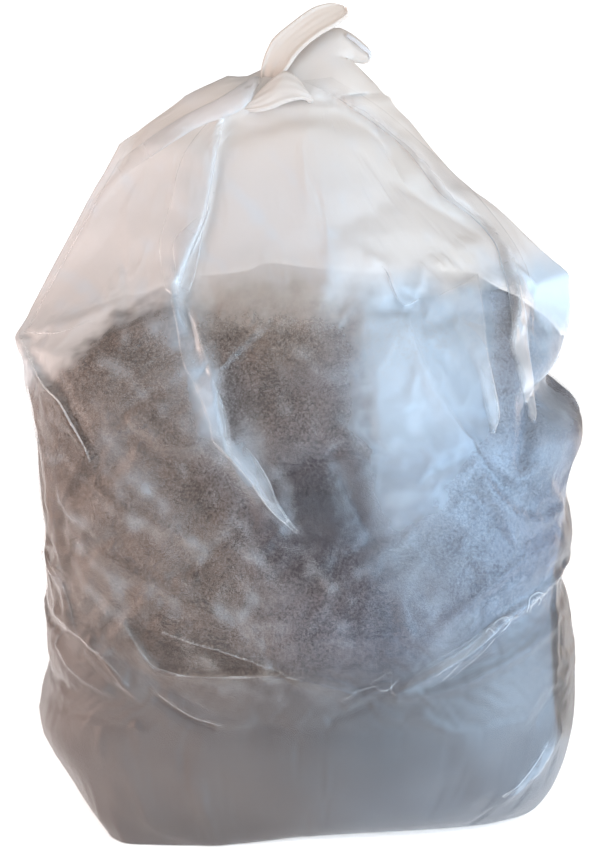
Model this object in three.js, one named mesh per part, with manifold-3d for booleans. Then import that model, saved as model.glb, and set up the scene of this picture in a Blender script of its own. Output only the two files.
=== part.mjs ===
// A small bag of dry cement mix: a milky polyethylene bag, filled to about two thirds, standing on a level
// floor, with its neck gathered and knotted in itself so that two ears of film stand up.
// Millimetres, +Z up. The origin is on the floor under the middle of the bag, and -Y is the bag's front.
import * as THREE from "three";
import { mergeVertices } from "three/addons/utils/BufferGeometryUtils.js";
import Module from "manifold-3d";

// The film is 0.1 mm thick on the real bag, and is drawn thicker so that it is a sound solid.
const FILM = 0.8;
const FILL_GAP = 0.7;
const COLUMNS = 64;
const FOOT_HEIGHT = 38;
const HEAP_DEPTH = 40;
const HEAP_RINGS = [120, 120, 80, 60, 45, 32, 18];
const LENS_START = 126;
const SHOULDER = 172;
const NECK_START = 205;
const NECK_TOP = 224;

// Half widths and half depths of the bag as [height, size].
const LEFT_EDGE = [
  [0, 78], [32, 79], [38, 77.9], [47, 75.2], [52, 76.4], [62, 77.2], [72, 76], [84, 76.6], [106, 77.6],
  [120, 78.8], [128, 80], [136, 81.3], [144, 83.2], [149, 79.9], [201, 52.8], [214, 33.3], [220, 19],
  [NECK_TOP, 12],
];
const RIGHT_EDGE = [
  [0, 81], [30, 81.6], [50, 81.4], [65, 79.2], [73, 76.8], [81, 78.2], [88, 79.8], [98, 77.6], [110, 80],
  [118, 82.8], [123, 81.4], [126.5, 75.5], [130, 70.8], [138, 75], [150, 77.1], [162, 76.6], [170, 67.2],
  [180, 55.8], [187, 48.2], [195, 40.4], [205, 31.6], [214, 23.8], [NECK_TOP, 13],
];
const FRONT_DEPTH = [
  [0, 49], [17, 49.5], [45, 50], [81, 50], [107, 48.5], [129, 45], [146, 40], [162, 32], [182, 22.5],
  [201, 13.5], [216, 7.5], [NECK_TOP, 4.5],
];
const BACK_DEPTH = [
  [0, 47], [17, 47.5], [45, 48.5], [81, 48], [107, 46.5], [129, 42.5], [146, 36.5], [162, 29], [182, 20],
  [201, 12.5], [216, 7.5], [NECK_TOP, 5],
];
const ROWS = [
  0, 1.5, 4, 8, 13, 20, 30, 38, 46, 56, 65, 73, 81, 88, 98, 110, 118, 123, 126.5, 130, 138, 144, 149, 155,
  162, 172, 182, 192, 201, 208, 214, 220, NECK_TOP,
];
// Where the bag meets the floor, as [x, y], going round from its sharp left front corner.
const FLOOR_OUTLINE = [
  [-57.4, -34], [-52.5, -40], [-41, -40.8], [-25, -41.4], [-12, -37.6], [0, -33], [15, -30], [50, -25],
  [62, -20], [69, -6], [71, 12], [67, 30], [50, 42], [-48, 42], [-58, 32], [-59, 0],
];

// Height of the powder where it meets the front and the back wall, as [x, height].
const FRONT_LEVEL = [
  [-84, 126], [-69, 139], [-54, 151], [-38, 159], [-20, 164], [0, 165], [22, 161], [48, 163.5], [62, 159],
  [70, 149], [84, 138],
];
const BACK_LEVEL = [[-84, 126], [-66, 144], [-40, 154], [-10, 158], [50, 158], [68, 148], [84, 138]];

// Large folds in the film. A route is [x, height], rise is out of the wall, and reach is how far it spreads.
const FRONT_FOLDS = [
  { rise: 3, reach: 14, route: [[-30, 205], [-35, 184], [-43, 166], [-43, 154]] },
  { rise: 2, reach: 8, route: [[-36, 163], [-29, 150], [-25, 130], [-16, 115], [-3, 99]] },
  { rise: 3.5, reach: 9, route: [[14, 216], [32, 202], [44, 188], [54, 177], [61, 166], [62, 148]] },
  { rise: -3, reach: 8, route: [[10, 213], [24, 199], [35, 186], [48, 175]] },
  { rise: 2.5, reach: 12, route: [[-1, 213], [5, 194], [7, 171], [-1, 152]] },
  { rise: 2.5, reach: 14, route: [[16, 182], [23, 168], [27, 148], [29, 128], [29, 116]] },
  { rise: 2, reach: 10, route: [[-82, 146], [-65, 152], [-48, 160]] },
  { rise: 1.5, reach: 7, route: [[-82, 146], [-73, 138], [-66, 128], [-60, 117]] },
  { rise: -3, reach: 8, route: [[78, 132], [70, 133], [65, 126], [62, 112]] },
  { rise: -1.5, reach: 9, route: [[-79, 65], [-49, 59], [-20, 43], [16, 40]] },
  { rise: 1.5, reach: 8, route: [[-52, 71], [-40, 58], [-7, 57], [18, 51], [37, 57], [57, 71], [78, 83]] },
];
const BACK_FOLDS = [
  { rise: 4.5, reach: 12, route: [[-14, 212], [-33, 196], [-48, 176], [-58, 156], [-59, 136], [-52, 122]] },
  { rise: 2.5, reach: 9, route: [[-3, 212], [-6, 196], [-6, 176], [-11, 152], [-13, 130], [-6, 112]] },
  { rise: 3, reach: 9, route: [[8, 212], [21, 198], [29, 180], [34, 160], [33, 140], [25, 122]] },
  { rise: 2, reach: 8, route: [[18, 208], [41, 190], [54, 172], [61, 150], [61, 130]] },
  { rise: -2, reach: 9, route: [[-22, 200], [-26, 176], [-32, 156], [-30, 140]] },
  { rise: -1.5, reach: 9, route: [[-76, 70], [-52, 64], [-28, 52], [2, 50], [30, 58], [56, 72], [76, 78]] },
];

// The knot, and the ears of film that stand up from it. The mouth is the way out of the bag through the
// lower ear.
const KNOT_AT = [-7.5, -0.5, 215];
const KNOT_RADIUS = 6.8;
const KNOT_THICKNESS = 4;
const KNOT_HEIGHT_SCALE = 1.25;
const KNOT_TILT = 0.2;
const EAR_ACROSS = [0.6, 0, -0.8];
const EAR_STEPS = 14;
const UPPER_EAR = {
  route: [[-8, 0, 216], [-8.5, -1, 222], [-5, -2, 229], [0, -2, 233.4], [6, -1.5, 237], [12, -1, 238.8]],
  widths: [7, 7.5, 8.5, 8.5, 8.5, 7.5, 3.5],
  thicknesses: [5, 4, 3.5, 3, 3, 2.5, 1.6],
  columns: 16,
};
const LOWER_EAR = {
  route: [[1, 0, 212], [2.5, 1.5, 220], [6, 2.5, 227], [12, 2.5, 229.3], [18.8, 2.5, 226.2]],
  widths: [18, 19, 16, 10.5, 8, 5.5],
  thicknesses: [8, 7, 5, 4.4, 4, 3.4],
  columns: 16,
};
const MOUTH = {
  route: [[-2, 0, 200], [2.5, 1.5, 220], [6, 2.5, 227], [12, 2.5, 229.3], [19.8, 2.5, 225.6]],
  widths: [2.4, 2.4, 2.4, 2.6, 3],
  thicknesses: [1.2, 1.2, 1.2, 1.4, 1.6],
  columns: 8,
};

const wasm = await Module();
wasm.setup();

function mix(a, b, share) {
  return a + (b - a) * share;
}

function ease(from, to, value) {
  return THREE.MathUtils.smoothstep(value, from, to);
}

// A table of [place, size] read at a place.
function lookUp(table, place) {
  const next = table.findIndex(([p]) => p >= place);
  if (next <= 0) return table.at(next)[1];
  const [low, high] = [table[next - 1], table[next]];
  return mix(low[1], high[1], (place - low[0]) / (high[0] - low[0]));
}

// How far the folds lift the wall at a point of the front or the back.
function relief(x, height, folds) {
  const here = new THREE.Vector3(x, height, 0);
  let lift = 0;
  for (const { rise, reach, route } of folds) {
    let nearest = reach;
    for (let i = 1; i < route.length; i++) {
      const [from, to] = [new THREE.Vector3(...route[i - 1], 0), new THREE.Vector3(...route[i], 0)];
      const stretch = new THREE.Line3(from, to);
      const foot = stretch.closestPointToPoint(here, true, new THREE.Vector3());
      nearest = Math.min(nearest, foot.distanceTo(here));
    }
    lift += rise * (1 - nearest / reach);
  }
  return lift;
}

// The wall's section at a height: square-shouldered round the powder, a pointed lens above it, and round at
// the neck.
function section(angle, height) {
  const [c, s] = [Math.cos(angle), Math.sin(angle)];
  const lens = ease(LENS_START, SHOULDER, height);
  const round = ease(NECK_START, NECK_TOP, height);
  const alongPower = mix(0.625, 1, lens);
  const acrossPower = mix(mix(0.625, 2, lens), 1, round);
  const width = lookUp(c > 0 ? RIGHT_EDGE : LEFT_EDGE, height);
  const depth = lookUp(s < 0 ? FRONT_DEPTH : BACK_DEPTH, height);
  const x = Math.sign(c) * width * Math.abs(c) ** alongPower;
  const y = Math.sign(s) * depth * Math.abs(s) ** acrossPower;
  return new THREE.Vector2(x, y);
}

// Where a ray from the middle of the base crosses the floor outline.
function floorPoint(direction) {
  const ray = new THREE.Vector2(direction.x, direction.y).normalize();
  const corners = FLOOR_OUTLINE.map((corner) => new THREE.Vector2(...corner));
  for (const [i, from] of corners.entries()) {
    const side = corners[(i + 1) % corners.length].clone().sub(from);
    const turn = ray.cross(side);
    const reach = from.cross(side) / turn;
    const share = from.cross(ray) / turn;
    if (reach > 0 && share >= 0 && share <= 1) return ray.multiplyScalar(reach);
  }
  throw new Error("The floor outline has a gap.");
}

// The bag's outline at a height, drawn in onto the floor outline at its foot: straight down the left side,
// and round elsewhere.
function outline(angle, height, footLevel) {
  const wall = section(angle, height);
  if (footLevel >= FOOT_HEIGHT) return wall;
  const up = Math.max(0, footLevel) / FOOT_HEIGHT;
  const straight = ease(0.3, 0.85, -wall.x / wall.length());
  const share = mix(Math.sqrt(1 - (1 - up) ** 2), up ** 0.62, straight);
  return floorPoint(wall).lerp(wall, share);
}

// A point of the wall on one of the rows, set in from the outside by inset.
function rowPoint(angle, height, inset) {
  const step = 0.01;
  const footLevel = height - inset;
  const point = outline(angle, height, footLevel);
  const before = outline(angle - step, height, footLevel);
  const along = outline(angle + step, height, footLevel).sub(before).normalize();
  const outward = new THREE.Vector2(along.y, -along.x);
  const folds = Math.sin(angle) < 0 ? FRONT_FOLDS : BACK_FOLDS;
  const fade = Math.min(1, 3 * Math.abs(Math.sin(angle)));
  const lift = relief(point.x, height, folds) * fade - inset;
  return new THREE.Vector3(...point.addScaledVector(outward, lift), height);
}

// The wall is straight between one row and the next, so a surface inside it never comes through it.
function wallPoint(angle, height, inset) {
  const next = Math.max(1, ROWS.findIndex((h) => h >= height));
  const share = (height - ROWS[next - 1]) / (ROWS[next] - ROWS[next - 1]);
  return rowPoint(angle, ROWS[next - 1], inset).lerp(rowPoint(angle, ROWS[next], inset), share);
}

// The same geometry with only its places, and with the vertices that share a place made one.
function merged(geometry) {
  geometry.deleteAttribute("normal");
  geometry.deleteAttribute("uv");
  return mergeVertices(geometry, 1e-4);
}

// A drum of unit radius with its rows at y = 0, 1, 2 and so on, and each point moved to
// place(radius, angle, row).
function warpedDrum(rowCount, columns, place) {
  const profile = [new THREE.Vector2(0, 0)];
  for (let row = 0; row < rowCount; row++) profile.push(new THREE.Vector2(1, row));
  profile.push(new THREE.Vector2(0, rowCount - 1));
  const drum = merged(new THREE.LatheGeometry(profile, columns));
  const at = drum.getAttribute("position");
  for (let i = 0; i < at.count; i++) {
    const radius = Math.hypot(at.getX(i), at.getZ(i));
    const angle = Math.atan2(at.getX(i), at.getZ(i));
    const spot = place(radius, angle, Math.round(at.getY(i)));
    at.setXYZ(i, spot.x, spot.y, spot.z);
  }
  return drum;
}

// The whole bag's form, set in by inset, between two heights.
function bagForm(inset, bottom, top) {
  const heights = [bottom, ...ROWS.filter((h) => h > bottom + 1 && h < top - 1), top];
  return warpedDrum(heights.length, COLUMNS, (radius, angle, row) => {
    const edge = wallPoint(angle, heights[row], inset);
    const middle = wallPoint(0, heights[row], inset).lerp(wallPoint(Math.PI, heights[row], inset), 0.5);
    return middle.lerp(edge, radius);
  });
}

// A list of sizes, shared out evenly along a route.
function sizeAlong(sizes, share) {
  const at = share * (sizes.length - 1);
  const low = Math.min(Math.floor(at), sizes.length - 2);
  return mix(sizes[low], sizes[low + 1], at - low);
}

// A flattened tube of film along a route.
function filmTube({ route, widths, thicknesses, columns }) {
  const curve = new THREE.CatmullRomCurve3(route.map((p) => new THREE.Vector3(...p)));
  return warpedDrum(EAR_STEPS + 1, columns, (radius, angle, row) => {
    const share = row / EAR_STEPS;
    const ahead = curve.getTangentAt(share);
    const wide = new THREE.Vector3(...EAR_ACROSS).projectOnPlane(ahead).normalize();
    const thick = new THREE.Vector3().crossVectors(ahead, wide);
    return curve
      .getPointAt(share)
      .addScaledVector(wide, (radius * Math.cos(angle) * sizeAlong(widths, share)) / 2)
      .addScaledVector(thick, (radius * Math.sin(angle) * sizeAlong(thicknesses, share)) / 2);
  });
}

// The bag's neck wrapped round itself: a tilted ring of film that stands proud of the neck.
function knotBand() {
  const band = new THREE.TorusGeometry(KNOT_RADIUS, KNOT_THICKNESS, 8, 24);
  band.scale(1, 1, KNOT_HEIGHT_SCALE);
  band.rotateY(KNOT_TILT);
  band.translate(...KNOT_AT);
  return merged(band);
}

function solid(geometry) {
  const vertProperties = geometry.getAttribute("position").array;
  const triVerts = new Uint32Array(geometry.index.array);
  return new wasm.Manifold(new wasm.Mesh({ numProp: 3, vertProperties, triVerts }));
}

function geometryOf(made) {
  const { vertProperties, triVerts } = made.getMesh();
  const geometry = new THREE.BufferGeometry();
  geometry.setAttribute("position", new THREE.BufferAttribute(vertProperties, 3));
  geometry.setIndex(new THREE.BufferAttribute(triVerts, 1));
  geometry.computeVertexNormals();
  return geometry;
}

// The bag: one skin of film, with its knot and its two ears.
function bagFilm() {
  const trim = [knotBand(), filmTube(UPPER_EAR), filmTube(LOWER_EAR)];
  const outside = trim.reduce((whole, piece) => whole.add(solid(piece)), solid(bagForm(0, 0, NECK_TOP)));
  const inside = solid(bagForm(FILM, FILM, NECK_START));
  return geometryOf(outside.subtract(inside).subtract(solid(filmTube(MOUTH))));
}

// Height of the powder's surface, from its level along the front wall to its level along the back wall.
function heapHeight(x, y) {
  return mix(lookUp(FRONT_LEVEL, x), lookUp(BACK_LEVEL, x), ease(-HEAP_DEPTH, HEAP_DEPTH, y));
}

// The cement mix fills the bag's inside up to the heap.
function cementMix() {
  const inset = FILM + FILL_GAP;
  const heap = warpedDrum(HEAP_RINGS.length, 32, (radius, angle, row) => {
    const x = radius * HEAP_RINGS[row] * Math.cos(angle);
    const y = radius * HEAP_RINGS[row] * Math.sin(angle);
    return new THREE.Vector3(x, y, row < 1 ? -1 : heapHeight(x, y));
  });
  return geometryOf(solid(bagForm(inset, inset, NECK_START)).intersect(solid(heap)));
}

const film = new THREE.MeshStandardMaterial({
  color: 0xe6dedb,
  roughness: 0.3,
  transparent: true,
  opacity: 0.5,
});
const cement = new THREE.MeshStandardMaterial({ color: 0x8f8a8a, roughness: 0.95 });

const bag = new THREE.Group();
for (const [name, geometry, material] of [
  ["bag_film", bagFilm(), film],
  ["cement_mix", cementMix(), cement],
]) {
  const mesh = new THREE.Mesh(geometry, material);
  mesh.name = name;
  bag.add(mesh);
}

// The folds reach further out on one side than on the other, so the bag is moved over the origin.
const middle = new THREE.Box3().setFromObject(bag, true).getCenter(new THREE.Vector3());
bag.position.set(-middle.x, -middle.y, 0);

export default bag;
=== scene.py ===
"""A small bag of dry cement mix: milky polyethylene film, knotted in itself over a grey powder."""

import math

import bpy
import numpy as np
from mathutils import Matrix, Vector
from mathutils.bvhtree import BVHTree


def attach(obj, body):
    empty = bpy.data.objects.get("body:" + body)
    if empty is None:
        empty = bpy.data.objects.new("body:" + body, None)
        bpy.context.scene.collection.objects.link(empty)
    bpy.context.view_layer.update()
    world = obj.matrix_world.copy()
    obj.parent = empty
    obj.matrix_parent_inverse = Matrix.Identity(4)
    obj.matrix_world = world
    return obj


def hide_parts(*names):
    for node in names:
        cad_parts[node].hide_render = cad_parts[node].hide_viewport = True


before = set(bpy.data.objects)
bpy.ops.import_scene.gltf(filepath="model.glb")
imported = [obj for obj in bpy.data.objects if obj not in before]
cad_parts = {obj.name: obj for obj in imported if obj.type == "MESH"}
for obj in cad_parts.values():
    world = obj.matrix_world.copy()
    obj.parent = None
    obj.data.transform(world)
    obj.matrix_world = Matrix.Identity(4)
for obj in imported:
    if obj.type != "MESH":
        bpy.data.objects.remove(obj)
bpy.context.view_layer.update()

# Everything below is in millimetres, in the bag's own frame, until to_frame() places it on the CAD part.
MM = 0.001
CAD_SHIFT = (0.43, 1.56, 0)

# The film's grid. A wall step is (height, how far apart the rows are up to it).
FRONT_COLUMNS = 300
BACK_COLUMNS = 100
FOOT_ROWS = 12
WALL_STEPS = [(96, 0.88), (168, 0.92), (214, 1.3)]
HEAD_ROWS = 26
BASE_RINGS = 6
# Points that each half of a row is measured with before its columns are spaced out evenly.
WALL_SAMPLES = 4001
HEAD_SAMPLES = 801

# The heights of the fill, the shoulder, the top of the wall and the foot that is drawn in to the floor.
FILL_LEVEL = 146
SHOULDER = 172
WALL_TOP = 213.8
FOOT_HEIGHT = 38
# How full a section is below the fill level: rounder than a box, fuller than an oval.
FULLNESS = 0.625

# Half widths and half depths of the wall as (height, size).
LEFT_EDGE = [
    (0, 78), (32, 79), (38, 77.9), (47, 75.2), (52, 76.4), (62, 77.2), (72, 76), (84, 76.6), (106, 77.6),
    (120, 78.8), (128, 80), (136, 81.3), (144, 83.2), (149, 79.9), (201, 52.8), (214, 33.3),
]
RIGHT_EDGE = [
    (0, 81), (30, 81.6), (50, 81.4), (65, 79.2), (73, 76.8), (81, 78.2), (88, 79.8), (98, 77.6),
    (110, 80), (118, 82.8), (123, 81.4), (126.5, 75.5), (130, 70.8), (138, 75), (150, 77.1), (162, 76.6),
    (170, 67.2), (180, 55.8), (187, 48.2), (195, 40.4), (205, 31.6), (214, 23.8),
]
FRONT_DEPTH = [
    (0, 49), (17, 49.5), (45, 50), (81, 50), (107, 48.5), (129, 45), (146, 40), (162, 32), (182, 22.5),
    (201, 13.5), (214, 7.6),
]
BACK_DEPTH = [
    (0, 47), (17, 47.5), (45, 48.5), (81, 48), (107, 46.5), (129, 42.5), (146, 36.5), (162, 29),
    (182, 20), (201, 12.5), (214, 7.6),
]
# Where the bag meets the floor, as (x, y) going round from the left front corner.
FLOOR_OUTLINE = [
    (-57.4, -34), (-52.5, -40), (-41, -40.8), (-25, -41.4), (-12, -37.6), (0, -33), (15, -30), (50, -25),
    (62, -20), (69, -6), (71, 12), (67, 30), (50, 42), (-48, 42), (-58, 32), (-59, 0),
]
# How much of its full width the foot has on the left, as (height, share).
LEFT_FOOT = [
    (0, 0), (5, 0.33), (9, 0.485), (13, 0.6), (18, 0.75), (24, 0.92), (28, 0.99), (33, 1.02), (38, 1),
]
# Above the wall the film runs on into the lower ear, as (left end, right end, front depth, back depth).
HEAD = [
    ((-33.5, 213.8), (23.8, 213.8), 7.6, 7.6),
    ((-23.5, 217.4), (20.6, 217.2), 6.4, 7),
    ((-15, 220.8), (16.9, 220.7), 5.4, 6.5),
    ((-9, 223.6), (13.9, 224), 4.4, 6),
    ((-3.5, 227), (12.9, 225.4), 3.4, 5.4),
    ((2, 230.8), (13.1, 225.2), 2.4, 5),
    ((6.5, 233.4), (13.8, 224.9), 1.6, 4.6),
    ((10, 234.2), (14.8, 224.5), 0.8, 4.4),
    ((13.2, 232.7), (16, 224.2), 0.4, 4.2),
    ((16.2, 230.4), (17.2, 224), 0.2, 4),
    ((18.3, 228.4), (18.2, 224.1), 0, 3.8),
    ((19.4, 226.6), (18.9, 224.6), 0, 3.4),
]

# A fold is (rise, reach before, reach after, haze, route of (x, height)). Its reach before is on the left
# of a route that goes down, or below one that goes right. Haze is how much milkier its doubled film looks.
FRONT_FOLDS = [
    (2.6, 16, 0.8, 0, [
        (-9.8, 221), (-11.2, 218), (-13.7, 214.8), (-17.1, 211.9), (-22.8, 209.2), (-24.5, 200.2),
        (-28.1, 182.5), (-31.5, 174.7), (-34.6, 167), (-35.9, 162.2), (-34, 155), (-31, 148)]),
    (1.1, 4.5, 2.2, 0.1, [
        (-36, 163), (-31.3, 158.3), (-30.2, 155.1), (-27.8, 148.3), (-25.8, 143.4), (-24.1, 130.7),
        (-20.8, 120.5), (-15.5, 114.7), (-9.6, 106.4), (-2, 98.6)]),
    (0.9, 6, 4, 0, [(-48, 202), (-43.6, 205.5), (-33.5, 212.2), (-23.5, 216.9), (-16.9, 220.7)]),
    (-2.4, 6, 3, 0, [
        (2, 218.4), (11.1, 214), (21.1, 206.7), (25.4, 199.3), (30.3, 191.4), (36.3, 186.7),
        (45.6, 180.5), (50.3, 177), (52, 172)]),
    (3.2, 1.2, 9, 0, [
        (-0.6, 219.9), (9.1, 215.4), (16.6, 211), (27.8, 201.7), (38.7, 188.2), (47.7, 181.4),
        (54.9, 173.7), (57.1, 167.3), (58.6, 162.3), (59.6, 156.4), (59.8, 152.6), (58.6, 147.1)]),
    (1.4, 3, 3, 0.05, [(77.3, 161.9), (68.5, 161.5), (64.8, 159.4)]),
    (-3, 4, 3, 0, [(76, 132), (70.5, 133), (66.4, 131.1), (64, 122.9), (61.7, 111.8)]),
    (1.2, 5, 7, 0, [(-82.1, 146.2), (-69.4, 150), (-61, 153.6), (-48, 160)]),
    (1.6, 4, 0.9, 0, [
        (-81.5, 145.6), (-75.5, 137), (-69.6, 132.9), (-66, 127.9), (-61.7, 120.8), (-60.3, 117),
        (-59, 112)]),
    (1.6, 8, 8, 0.03, [
        (-0.6, 213), (3, 200), (4.5, 193.3), (6.5, 181.7), (7.6, 170.7), (2.5, 159.9), (-2, 152)]),
    (0.9, 6, 14, 0, [
        (10, 182), (14, 174), (16.1, 168), (17.2, 158.2), (19.4, 148.4), (20.9, 135.8), (20.9, 125.5),
        (18.5, 116.6)]),
    (-1.4, 5, 5, 0, [
        (-79.1, 64.8), (-64, 62), (-49.2, 58.4), (-35, 49), (-20.6, 42.5), (-0.6, 39.5), (16, 40)]),
    (1.5, 0.8, 3, 0, [(-42.7, 50.7), (-38.4, 47.7), (-31.8, 43.7), (-23.5, 41.2), (-12, 41.5)]),
    (-1.4, 1.2, 1, 0, [(-44, 49.4), (-39, 46.2), (-32.5, 42.2), (-24.5, 39.8)]),
    (2, 3.5, 0.7, 0, [
        (-54, 74), (-51.4, 70.9), (-44.3, 60.1), (-39.7, 57.5), (-29.4, 56.4), (-6.6, 57.3), (8, 54),
        (18, 50)]),
    (1, 0.8, 2.4, 0, [(-44, 71), (-40.2, 69.2), (-30.5, 66), (-21.6, 63.5), (-7.1, 57.6)]),
    (1.8, 3, 1, 0, [(-72, 90), (-75.3, 84.4), (-68.9, 77.3), (-65.3, 65.4)]),
    (2.6, 0.9, 4.5, 0, [(-73, 66), (-70.4, 68.1), (-64, 64.5), (-57.2, 59.7), (-51, 52.5), (-47, 46)]),
    (2, 0.9, 3.5, 0, [(-72.6, 60.4), (-66.6, 54.1), (-60.9, 50.9), (-54, 48.5)]),
    (1.6, 1, 3, 0, [(-64, 60.9), (-57, 56), (-53.7, 52.6), (-49.4, 51.4)]),
    (0.9, 1.2, 2, 0, [(-69.9, 107.9), (-67.6, 101.4), (-65.3, 100.2), (-61.4, 97.8), (-55, 94)]),
    (-0.8, 1.2, 1.2, 0, [(-39.1, 84.6), (-35.1, 86.5), (-30.8, 87.3)]),
    (1.6, 3, 0.8, 0, [
        (20, 49), (28.6, 52.6), (36.6, 56.9), (48, 62.7), (56.6, 70.6), (68.4, 77.5), (76, 82),
        (80, 83)]),
    (0.9, 3, 2, 0, [(23.2, 51), (34, 50.8), (44.9, 52.7), (55.9, 57.3), (69.6, 63.8), (76, 68)]),
    (-1, 4, 3, 0, [(32.1, 15), (48.9, 21.2), (62.4, 31.3), (71.3, 43), (74, 52)]),
    (1.6, 2, 1.2, 0.05, [(54, 12), (58, 14.9), (63.6, 18.7), (68.4, 23.3), (72.9, 30), (77, 36)]),
    (0.6, 3, 1.4, 0, [(73, 80), (72.9, 71.6), (73.6, 54.3), (73.1, 33.8), (75, 26)]),
    (1.4, 1.1, 1.1, 0, [(-60.4, 37.2), (-58.8, 32.4), (-57.4, 31)]),
    (1.2, 1, 1.2, 0, [(-48.9, 41), (-47.4, 38.6), (-45.6, 36.4)]),
    (-1, 1, 1, 0, [(-36.4, 28), (-32, 26.4), (-28, 24.6)]),
    (1.2, 0.9, 1.3, 0, [(-37, 20), (-34.7, 19.8), (-31, 18.4), (-27, 16.6)]),
    (-0.7, 1, 1, 0, [(-32, 11.6), (-29, 9.4), (-25.8, 8)]),
    (0.9, 0.9, 1.3, 0, [(11.5, 45.8), (16, 49.4), (21.6, 51.9), (25.6, 53.8)]),
    (0.8, 1, 1, 0, [(25.6, 53.8), (26.9, 50), (26, 47.6)]),
    (-0.7, 1.4, 1.2, 0, [(6, 42.4), (13, 44.6), (20, 48)]),
    (1, 2.5, 5, 0, [(-24.4, 38.8), (-32.3, 28.2), (-31.8, 19.7), (-25.3, 6)]),
    (1.2, 1.2, 4, 0, [(-66, 40), (-56, 30), (-48, 18), (-44, 6)]),
    (1, 1.2, 3, 0, [(-60, 22), (-50, 12), (-40, 6), (-30, 4)]),
    (1, 5, 8, 0, [(-8, 44), (6, 34), (24, 28), (44, 30)]),
    (1.2, 3, 6, 0, [(30, 46), (42, 38), (50, 26), (52, 12)]),
    (1.1, 1, 2, 0, [
        (15.5, 172.6), (22.1, 170.8), (23.8, 168.7), (26, 163.3), (28.5, 160.4), (33.1, 161.5)]),
    (1, 1.2, 1.2, 0, [(36.4, 171.9), (38.7, 169.1), (41.3, 171.3)]),
    (0.9, 2, 1, 0, [(34.1, 170.5), (33.1, 165.4), (31, 162)]),
    (0.9, 5, 2, 0, [(28.5, 160.4), (31, 150), (37, 137), (43, 128), (47, 118)]),
    (-1.4, 5, 5, 0, [(7.9, 125), (12, 112), (16, 103), (22, 92)]),
    (0.9, 3, 1, 0, [(-62, 112), (-50, 104), (-38, 100), (-26, 92)]),
    (0.7, 2, 1, 0, [(-68, 96), (-52, 88), (-36, 80), (-18, 72)]),
    (1.2, 4, 1.5, 0, [(48.8, 115.8), (56, 106.6), (64, 100), (70, 99), (76, 102)]),
    (0.7, 1.5, 3, 0, [(74, 92), (62, 88), (46, 76), (34, 66)]),
    (0.9, 2, 4, 0, [(-50, 132), (-44, 126), (-34, 122), (-28, 126)]),
    (0.9, 3, 4, 0, [(-78, 128), (-74, 112), (-72, 96), (-70, 84)]),
]
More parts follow.
